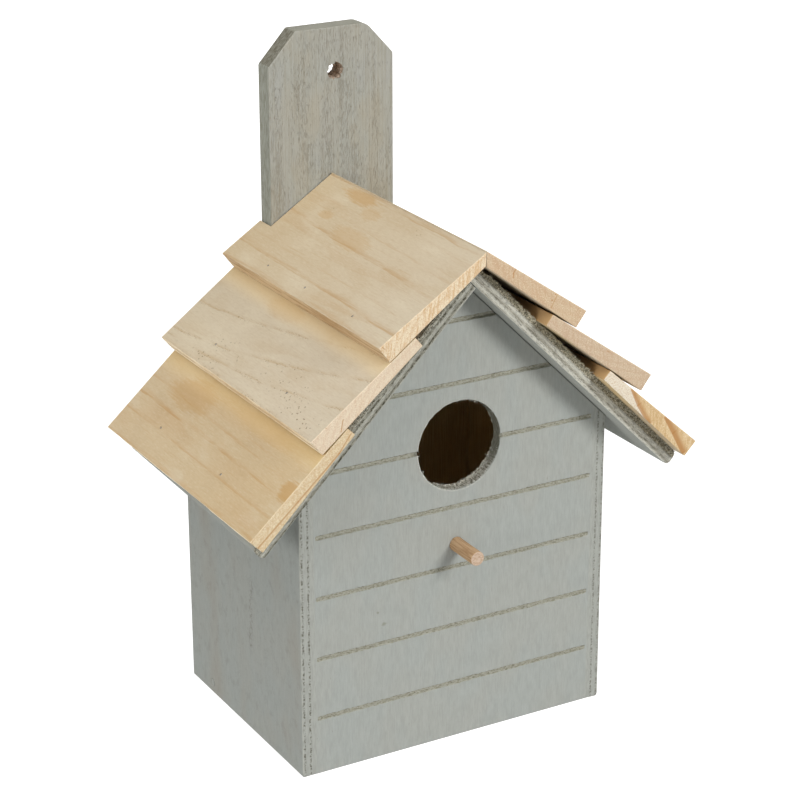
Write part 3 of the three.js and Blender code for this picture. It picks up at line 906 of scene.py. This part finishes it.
shingles = {
    "left_ridge": {
        "back": (206, 186, 152), "front": (212, 197, 171), "late": (186, 148, 100),
        "end": (228, 212, 184), "end_late": (206, 170, 126), "hatch": 0.7,
        "butt": ((188, 156, 116), (216, 190, 152)),
        "pith": (30, -62), "drift": -3, "ring": 2.7,
        "lines": (Line(8.4, 6.3, 1, 2.6, 0.6), Line(27.7, 22.9, 1, 2.6, 0.6), Line(47, 44.5, 1, 2.2, 0.5),
                  Line(0.3, 0.3, 1, 2.4, 0.45), Line(14, 12.5, 1, 1.4, 0.2),
                  Line(34.5, 31, 1.4, 1.6, 0.25)),
        "resin": (Patch(44, 61, 2.8, 10, 0.8), Patch(32, 68, 2.2, 5, 0.5), Patch(40, 48, 3, 6, 0.35),
                  Patch(28, 46, 4.5, 14, 0.4)),
        "specks": (Patch(34, 67, 3, 6, 0.5), Patch(42, 18, 2.5, 4, 0.5)),
        "marks": (Mark((1.4, -0.6), (1.7, -1.8), 0.3, 0.3, 0.5),)},
    "left_middle": {
        "back": (213, 198, 171), "front": (212, 198, 174), "late": (190, 160, 116),
        "end": (222, 206, 182), "end_late": (208, 180, 150), "hatch": 0.25,
        "pith": (22, -56), "drift": -20, "ring": 2.6, "dotted": 0.5,
        "lines": (Line(5.7, 27.3, 1.5, 1.8, 0.45), Line(19, 38.3, 1.5, 1.8, 0.45),
                  Line(3.2, 14.7, 2.2, 1.6, 0.4), Line(0.2, 0.2, 1, 1.8, 0.3)),
        "resin": (Patch(32.5, 51, 3.5, 12, 0.35),),
        "specks": (Patch(3, 65, 4, 12, 0.8), Patch(10, 58, 5, 14, 0.6), Patch(12, 18, 7, 18, 0.7),
                   Patch(5, -2, 6, 14, 1.0), Patch(21.7, 69.4, 1.2, 1.2, 1.0)),
        "marks": (Mark((12.7, -2.6), (9.7, -5.3), 0.3, 0.3, 0.7),
                  Mark((6.8, -0.2), (6.8, -0.3), 0.3, 0.3, 0.8))},
    "left_eave": {
        "back": (213, 192, 157), "front": (207, 184, 146), "late": (190, 142, 84),
        "end": (216, 199, 166), "end_late": (200, 168, 126), "hatch": 0.3,
        "pith": (8, -70), "drift": -2, "ring": 2.6,
        "lines": (Line(17.6, 17.2, 1, 2.0, 0.5), Line(10.8, 9.2, 1, 1.6, 0.4),
                  Line(24.5, 22, 1.2, 1.8, 0.3), Line(0.2, 0.4, 1, 2.0, 0.45)),
        "resin": (Patch(27, 66, 6.5, 15, 0.6), Patch(20, -14.5, 4.2, 5.0, 1.0),
                  Patch(32, 20, 3.5, 26, 0.35)),
        "specks": (),
        "marks": (Mark((-0.8, -3.7), (20, -3.8), 0.3, 0.6, 0.65),
                  Mark((20, -3.8), (40, -3.7), 0.3, 0.6, 0.65),
                  Mark((40, -3.7), (47, -2.2), 0.3, 0.5, 0.6))},
    "right_ridge": {
        "back": (203, 184, 150), "front": (211, 196, 170), "late": (180, 144, 102),
        "end": (206, 184, 153), "end_late": (192, 156, 124),
        "pith": (20, 60), "drift": 4, "ring": 2.8,
        "lines": (Line(12, 15, 1, 1.2, 0.5), Line(28, 26, 1, 1.2, 0.4), Line(40, 39, 1, 1.0, 0.4)),
        "resin": (Patch(20, 40, 3, 14, 0.4),),
        "specks": (),
        "marks": (Mark((34.1, 0.1), (34, -1.7), 0.2, 0.5, 0.7),
                  Mark((34, -1.7), (33.2, -3.1), 0.2, 0.5, 0.7),
                  Mark((14.2, -0.2), (14, -2.7), 0.2, 0.5, 0.5),
                  Mark((14, -2.7), (13.7, -5.2), 0.2, 0.5, 0.5),
                  Mark((46, -0.1), (46, 0), 0.3, 0.3, 0.8),
                  Mark((14.8, -0.5), (14.8, -0.6), 0.3, 0.3, 1),
                  Mark((14.8, -2.8), (14.8, -2.9), 0.35, 0.35, 1),
                  Mark((2.4, -1.1), (2.5, -1.1), 0.3, 0.3, 0.7))},
    "right_middle": {
        "back": (203, 189, 162), "front": (209, 196, 172), "late": (184, 154, 116),
        "end": (204, 184, 157), "end_late": (188, 156, 128),
        "pith": (30, 70), "drift": -6, "ring": 2.6,
        "lines": (Line(6, 9, 1, 1.2, 0.4), Line(18, 20, 1.2, 1.0, 0.4), Line(27, 30, 1, 1.0, 0.3)),
        "resin": (Patch(24, 60, 4, 12, 0.3),),
        "specks": (),
        "marks": (Mark((20.5, -0.8), (22, -0.9), 0.25, 0.25, 0.6),)},
    "right_eave": {
        "back": (201, 179, 143), "front": (214, 193, 160), "late": (182, 140, 90),
        "end": (218, 194, 154), "end_late": (194, 156, 104), "hatch": 0.6,
        "upper_end": {"colour": (228, 220, 204), "from": 36.8, "slant": 2.77},
        "pith": (59, -97), "drift": 3, "ring": 5.9,
        "lines": (Line(18, 18.5, 1, 1.4, 0.6), Line(6, 6.5, 1, 1.0, 0.4), Line(30, 30, 1, 1.2, 0.3)),
        "resin": (Patch(12, 30, 3, 20, 0.3),),
        "specks": (),
        "marks": (Mark((37.3, -0.5), (31, -3.3), 0.4, 2.4, 0.75),
                  Mark((31, -3.3), (22.1, -6), 0.4, 2.4, 0.75),
                  Mark((18, -0.6), (10.9, -3.1), 0.5, 2.8, 0.85),
                  Mark((10.9, -3.1), (1.9, -6.4), 0.5, 2.8, 0.85))},
}
# The usual lower-edge colours are lighter than the wood: painted light on that downward-facing edge
shingle = {"usual_hatch": 0.4, "usual_butt_painted_light": ((222, 196, 156), (250, 236, 208)),
           "worn": 0.3, "waver": 0.3, "cuts": 27, "cut_every": 4, "end_depth": 0.12}
notch = {"gap": 0.5, "low": 100, "high": 200, "past_back": 3}
saw_stripe = {"across_u": 0.79, "across_v": -0.62, "spacing": 0.85}


def end_corners(node):
    """Where a board's front end is, and that end's corners from the lower underside round."""
    points = cad_points(node)
    front = min(point.y for point in points)
    ends = {(round(p.x, 2), round(p.z, 2)) for p in points if p.y < front + 0.05}
    low_under, low_top, high_under, high_top = sorted(ends, key=lambda end: end[1])
    return front, (low_under, low_top, high_top, high_under)


def along_board(wood, corners):
    """A board's own u and v, from its top face's lower and upper corners."""
    _, (low_x, low_z), (high_x, high_z), _ = corners
    length = math.hypot(high_x - low_x, high_z - low_z)
    run, climb = (high_x - low_x) / length, (high_z - low_z) / length
    across, above = wood.x - low_x, wood.z - low_z
    u = across * run + above * climb
    v = (above * run - across * climb) * math.copysign(1, run)
    return u, v


def stroke(wood, u, v, mark, fray):
    """Dark along a mark, over one width on its sharp side and another on its soft one."""
    (u_1, v_1), (u_2, v_2) = mark.start, mark.end
    length = math.hypot(u_2 - u_1, v_2 - v_1)
    run, climb = (u_2 - u_1) / length, (v_2 - v_1) / length
    along = (u - u_1) * run + (v - v_1) * climb
    past = (abs(along - length / 2) - length / 2).or_more(0)
    across = (v - v_1) * run - (u - u_1) * climb
    across = (across / mark.sharp).or_more(across / -mark.soft)
    off = wood.away(across, past / min(mark.sharp, mark.soft))
    return wood.rise(off + fray, 1, 0.25) * mark.strength


def off_patch(wood, u, patch):
    """How far a point lies from a patch's middle, where its rim is at 1."""
    return wood.away((u - patch.u) / patch.reach_u, (wood.y - patch.y) / patch.reach_y)


def pine_face(wood, name, facts, u, forward, late, fibre, wobble, dashes):
    """A board's long faces: rings, streaks, this board's own lines, stains and specks, and painted warm
    bounce light below the board above.
    """
    fade = wood.noise((0.1, 0.018, 0.1))
    cloud = wood.noise((0.08, 0.035, 0.08), 3, 0.55)
    fleck = wood.noise((2.2, 0.4, 2.2), 3, 0.7)
    streaks = wood.noise((1.3, 0.05, 1.3), 3, 0.6)
    pinholes = wood.rise(wood.noise((2.3, 1.1, 2.3), 2, 0.7), 0.54, 0.64)
    face = wood.over(
        wood.blend(facts["back"], facts["front"], forward),
        ((226, 214, 188), wood.rise(cloud, 0.52, 0.7) * 0.35),
        ((196, 172, 136), wood.rise(cloud, 0.48, 0.3) * 0.35),
        (facts["late"], late * wood.rise(fade, 0.4, 0.7) * 0.22),
        (facts["late"], wood.rise(fibre, 0.52, 0.8) * 0.25),
        ((232, 222, 200), wood.rise(fleck, 0.5, 0.72) * 0.2),
        ((178, 152, 116), wood.rise(fleck, 0.5, 0.28) * 0.2))
    for line in facts["lines"]:
        middle = forward ** line.bend * (line.at_front - line.at_back) + line.at_back
        off = u - middle + wobble * 2.5 + (streaks - 0.5) * 0.8
        near = wood.rise(off, -0.3, 0.05) * wood.rise(off, line.width, 0)
        near = near * (wood.rise(dashes, 0.38, 0.54) * 0.7 + 0.3)
        near = near * (wood.rise(streaks, 0.4, 0.58) * 0.7 + 0.3)
        face = wood.blend(face, facts["late"], near * line.strength)
        if "dotted" in facts:
            row = wood.rise(abs(off), 1.1, 0.3) * pinholes * wood.rise(dashes, 0.42, 0.56)
            face = wood.blend(face, (152, 126, 92), row * facts["dotted"])
    for patch in facts["resin"]:
        off = off_patch(wood, u, patch) + wobble * 1.5 + (streaks - 0.5) * 1.1 + (fleck - 0.5) * 0.5
        face = wood.blend(face, (196, 154, 94), wood.rise(off, 1.2, 0.6) * patch.strength * 0.68)
    # Painted warm bounce light, which lightens the face just below the lower edge of the board above
    if "ridge" not in name:
        face = wood.blend(face, (246, 216, 154), wood.rise(u, 27, 36) * 0.45)
    cells = wood.node("ShaderNodeTexVoronoi", {}, {"Vector": wood.place, "Scale": 0.62})
    for patch in facts["specks"]:
        speck = wood.rise(cells + (fibre - 0.5) * 0.3, 0.23, 0.12)
        speck = speck * wood.rise(off_patch(wood, u, patch), 1.1, 0.6)
        face = wood.blend(face, (120, 92, 62), speck * patch.strength * 0.7)
    return face


def pine_end(wood, facts, u, v, late, grit):
    """A board's sawn ends: grit, slanting saw marks and this board's own dark strokes."""
    slanted = wood.spot(u * saw_stripe["across_u"] + v * saw_stripe["across_v"], wood.y,
                        (v + u * 0.8) * 0.12)
    hatch = wood.noise((1 / saw_stripe["spacing"], 0.3, 1), 2, 0.6, slanted)
    hatched = wood.rise(hatch, 0.46, 0.6) * facts.get("hatch", shingle["usual_hatch"])
    end = wood.over(facts["end"], (facts["end_late"], late * 0.3), (facts["end_late"], hatched))
    if "upper_end" in facts:
        strip = facts["upper_end"]
        off_strip = u - (v + 0.5) * strip["slant"]
        end = wood.blend(end, strip["colour"],
                         wood.rise(off_strip, strip["from"], strip["from"] + 1) * 0.9)
    dots = wood.rise(wood.noise((2.6, 2.6, 2.6), 2, 0.6), 0.66, 0.74)
    end = wood.over(end,
                    (facts["end_late"], wood.rise(grit, 0.5, 0.62) * 0.7),
                    ((244, 230, 200), wood.rise(grit, 0.46, 0.34) * 0.55),
                    ((150, 116, 84), dots * 0.6))
    for mark in facts["marks"]:
        end = wood.blend(end, (178, 128, 76), stroke(wood, u, v, mark, (grit - 0.5) * 0.6))
    # A pale line along the end's upper edge: saw fuzz, and partly a painted highlight on the arris
    return wood.blend(end, (240, 226, 200), wood.rise(v, -0.4, -0.1) * wood.rise(grit, 0.4, 0.6) * 0.5)


def pine(name, facts, front, corners):
    """Bare pine: rings round a pith that drifts along the board, its faces, ends and lower edge."""
    wood = Wood(f"pine of the {name.replace('_', ' ')} board")
    u, v = along_board(wood, corners)
    forward = ((board_back - wood.y) / (board_back - front)).or_more(0)
    wander = wood.noise((0.05, 0.013, 0.05))
    pith_u, pith_v = facts["pith"]
    from_pith = wood.away(u - pith_u + forward ** 1.5 * facts["drift"], v - pith_v)
    turns = from_pith / facts["ring"] + wander * 1.6
    phase = turns.math("FRACT", turns)
    late = wood.rise(phase, 0.35, 0.9) * wood.rise(phase, 1.0, 0.93)
    fibre = wood.noise((1.5, 0.05, 1.5), 3, 0.6)
    grit = wood.noise((2.2, 2.2, 2.2), 3, 0.8)
    wobble = wood.noise((0.05, 0.03, 0.05), 3, 0.6) - 0.5
    dashes = wood.noise((0.3, 0.05, 0.3), 2, 0.6)
    end_depth = shingle["end_depth"]
    at_end = (wood.y < front + end_depth).or_more(wood.y > board_back - end_depth)
    # On most boards the lower edge takes those lighter colours, painted light
    brown, pale = facts.get("butt", shingle["usual_butt_painted_light"])
    middle_line = wood.rise(abs(v + 3.1 + wobble * 4), 0.8, 0.2) * wood.rise(dashes, 0.36, 0.5)
    butt_paint = wood.over(wood.graded(fibre + wobble, 0.25, 0.55, brown, pale),
                           ((176, 138, 94), middle_line * 0.7))
    colour = wood.over(
        pine_face(wood, name, facts, u, forward, late, fibre, wobble, dashes),
        (pine_end(wood, facts, u, v, late, grit), at_end),
        (butt_paint, (u + v * 0.075 < 0.22) * (1 - at_end)))
    if "ridge" not in name:
        length = math.dist(corners[1], corners[2])
        colour = wood.blend(colour, (200, 158, 108), (u > length - 0.25) * (1 - at_end) * 0.8)
    return wood.coat(colour, 0.62, fibre * 0.5 + grit * at_end * 1.5, 0.05)


def shingle_mesh(front, corners):
    """A tapered board with a slightly wavy lower edge and worn arrises."""
    mesh = bmesh.new()
    mesh.faces.new([mesh.verts.new((x, front, z)) for x, z in corners])
    bmesh.ops.translate(mesh, vec=(0, board_back - front, 0), verts=grow(mesh))
    face_outwards(mesh)
    for cut in range(1, shingle["cuts"] + 1):
        bmesh.ops.bisect_plane(mesh, geom=everything(mesh), plane_no=(0, 1, 0),
                               plane_co=(0, front + cut * shingle["cut_every"], 0))
    low_top, high_top = Vector(corners[1]), Vector(corners[2])
    upward = (high_top - low_top).normalized()
    for vert in mesh.verts:
        if (Vector((vert.co.x, vert.co.z)) - low_top).length < 0.1:
            inward = shingle["waver"] * max(jitter(vert.co.y, low_top.x, 9), 0)
            vert.co += Vector((upward.x, 0, upward.y)) * inward
    at_mitre = [e for e in mesh.edges if all(abs(v.co.x) < 1 for v in e.verts)]
    worn = [e for e in mesh.edges if is_sharp(e) and e not in at_mitre]
    soften(mesh, worn, shingle["worn"], segments=3)
    return mesh


for name, facts in shingles.items():
    front, corners = end_corners(f"{name}_shingle")
    if "ridge" in name:
        corners = [(x * 0.15 if abs(x) < 1 else x, z) for x, z in corners]
    pine_board = make_piece(f"{name}_pine_board", shingle_mesh(front, corners),
                            pine(name, facts, front, corners))
    cut_away(pine_board, brad_holes(name.split("_")[0]))
    if "eave" not in name:
        cut_away(pine_board, slab(
            (board["left"] - notch["gap"], wall["depth"] - notch["gap"], notch["low"]),
            (board["right"] + notch["gap"], board_back + notch["past_back"], notch["high"])))
    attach(pine_board, "house")
    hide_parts(f"{name}_shingle")


# Clean-out floor
# A plywood floor, grey-washed below and bare above, that lies in a recess between the walls. It
# turns on two pins near its rear edge and hangs open for cleaning.

floor_low, floor_high = (-54.3, 5.8, 1.5), (54.3, 81.7, 6.8)
mesh = slab(floor_low, floor_high)
soften(mesh, mesh.edges[:], 0.3)
wood = Wood("grey wash on the floor")
paint, relief = grey_wash(wood, 0)
half_depth = (floor_high[1] - floor_low[1]) / 2
off_middle = abs(wood.y - (floor_low[1] + floor_high[1]) / 2)
on_edge = (abs(wood.x) > floor_high[0] - 0.2).or_more(off_middle > half_depth - 0.2)
dots = glue_dots(wood, wood.z - floor_low[2], (1.2, 4.1), (0.8, 0.8, 0.8))
paint = wood.over(paint,
                  (bare_veneer(wood, 0), wood.z > floor_high[2] - 0.2),
                  ((108, 96, 74), dots * on_edge * 0.8))
nest_floor = make_piece("nest_floor", mesh, wood.coat(paint, 0.8, relief, 0.06))
for side in (-1, 1):
    cut_away(nest_floor, pin_hole(side))
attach(nest_floor, "floor")
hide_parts("floor_panel")


# Brads, pins and screws
# Steel fasteners: headless brads in the shingles, two pins that the floor turns on, with paint
# over their heads, and three cross-head screws from behind through the hanging board.

thread = {"pitch": 1.2, "depth": 0.35}
recess = {"reach": 1.5, "half_width": 0.3, "depth": 1.1}


def steel(name, painted_from=None, bright=1):
    """Plain steel, a little stained, with paint beyond so many millimetres from the middle."""
    metal = Wood(name)
    stain = metal.noise((1.6, 1.6, 1.6), 3, 0.6)
    colour = metal.graded(stain, 0.35, 0.65, (120, 116, 108), (166, 164, 160))
    if painted_from:
        painted = abs(metal.x) > painted_from
        colour = metal.blend(colour, (160, 162, 155), painted)
        bright = 1 - painted
    metal.feed(metal.shader.inputs["Metallic"], bright)
    return metal.coat(colour, metal.rise(stain, 0.2, 0.9) * 0.2 + 0.4, stain, 0.02)


def dress(node, material):
    """Gives a CAD node that stays in view a new material."""
    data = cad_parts[node].data
    data.materials.clear()
    data.materials.append(material)


brad_steel = steel("dull steel of the brads", bright=0.3)
pin_steel = steel("steel of the floor pins", wall["half_width"] - 0.4)
screw_steel = steel("steel of the screws")
for node in list(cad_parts):
    if "brad" in node:
        foot, head = brad_ends(node)
        length, radius = (head - foot).length, brad["radius"]
        body = bore(foot, head - foot, [
            (0, radius * 0.3, 0), (0.8, radius * 0.9, 0), (length - 0.9, radius * 0.9, 0),
            (length - 0.6, radius, 0.1), (length - 0.06, radius, 0.1), (length, radius * 0.8, 0.1)],
            segments=16, ragged=2, seed=5)
        brad_piece = make_piece(node.replace("brad", "steel_brad"), body, brad_steel)
        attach(brad_piece, "house")
        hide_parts(node)
    elif "pin" in node:
        dress(node, pin_steel)

for number, height in enumerate(screw["heights"], 1):
    head, shank, worn = screw["head"], screw["shank"], screw["worn"]
    rings = [(0, head - worn, 0), (worn, head, 0), (screw["head_depth"], shank, 0)]
    along = screw["head_depth"] + 1
    while along < screw["length"] - screw["point"]:
        rings += [(along, shank - thread["depth"], 0), (along + thread["pitch"] / 2, shank, 0)]
        along += thread["pitch"]
    rings.append((screw["length"], worn, 0))
    body = bore((0, board_back, height), (0, -1, 0), rings, segments=32)
    hanging_screw = make_piece(f"hanging_screw_{number}", body, screw_steel)
    long_way, short_way = recess["reach"], recess["half_width"]
    for reach_x, reach_z in ((long_way, short_way), (short_way, long_way)):
        cut_away(hanging_screw, slab((-reach_x, board_back - recess["depth"], height - reach_z),
                                     (reach_x, board_back + 1, height + reach_z)))
    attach(hanging_screw, "house")
    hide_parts(f"back_board_screw_{number}")
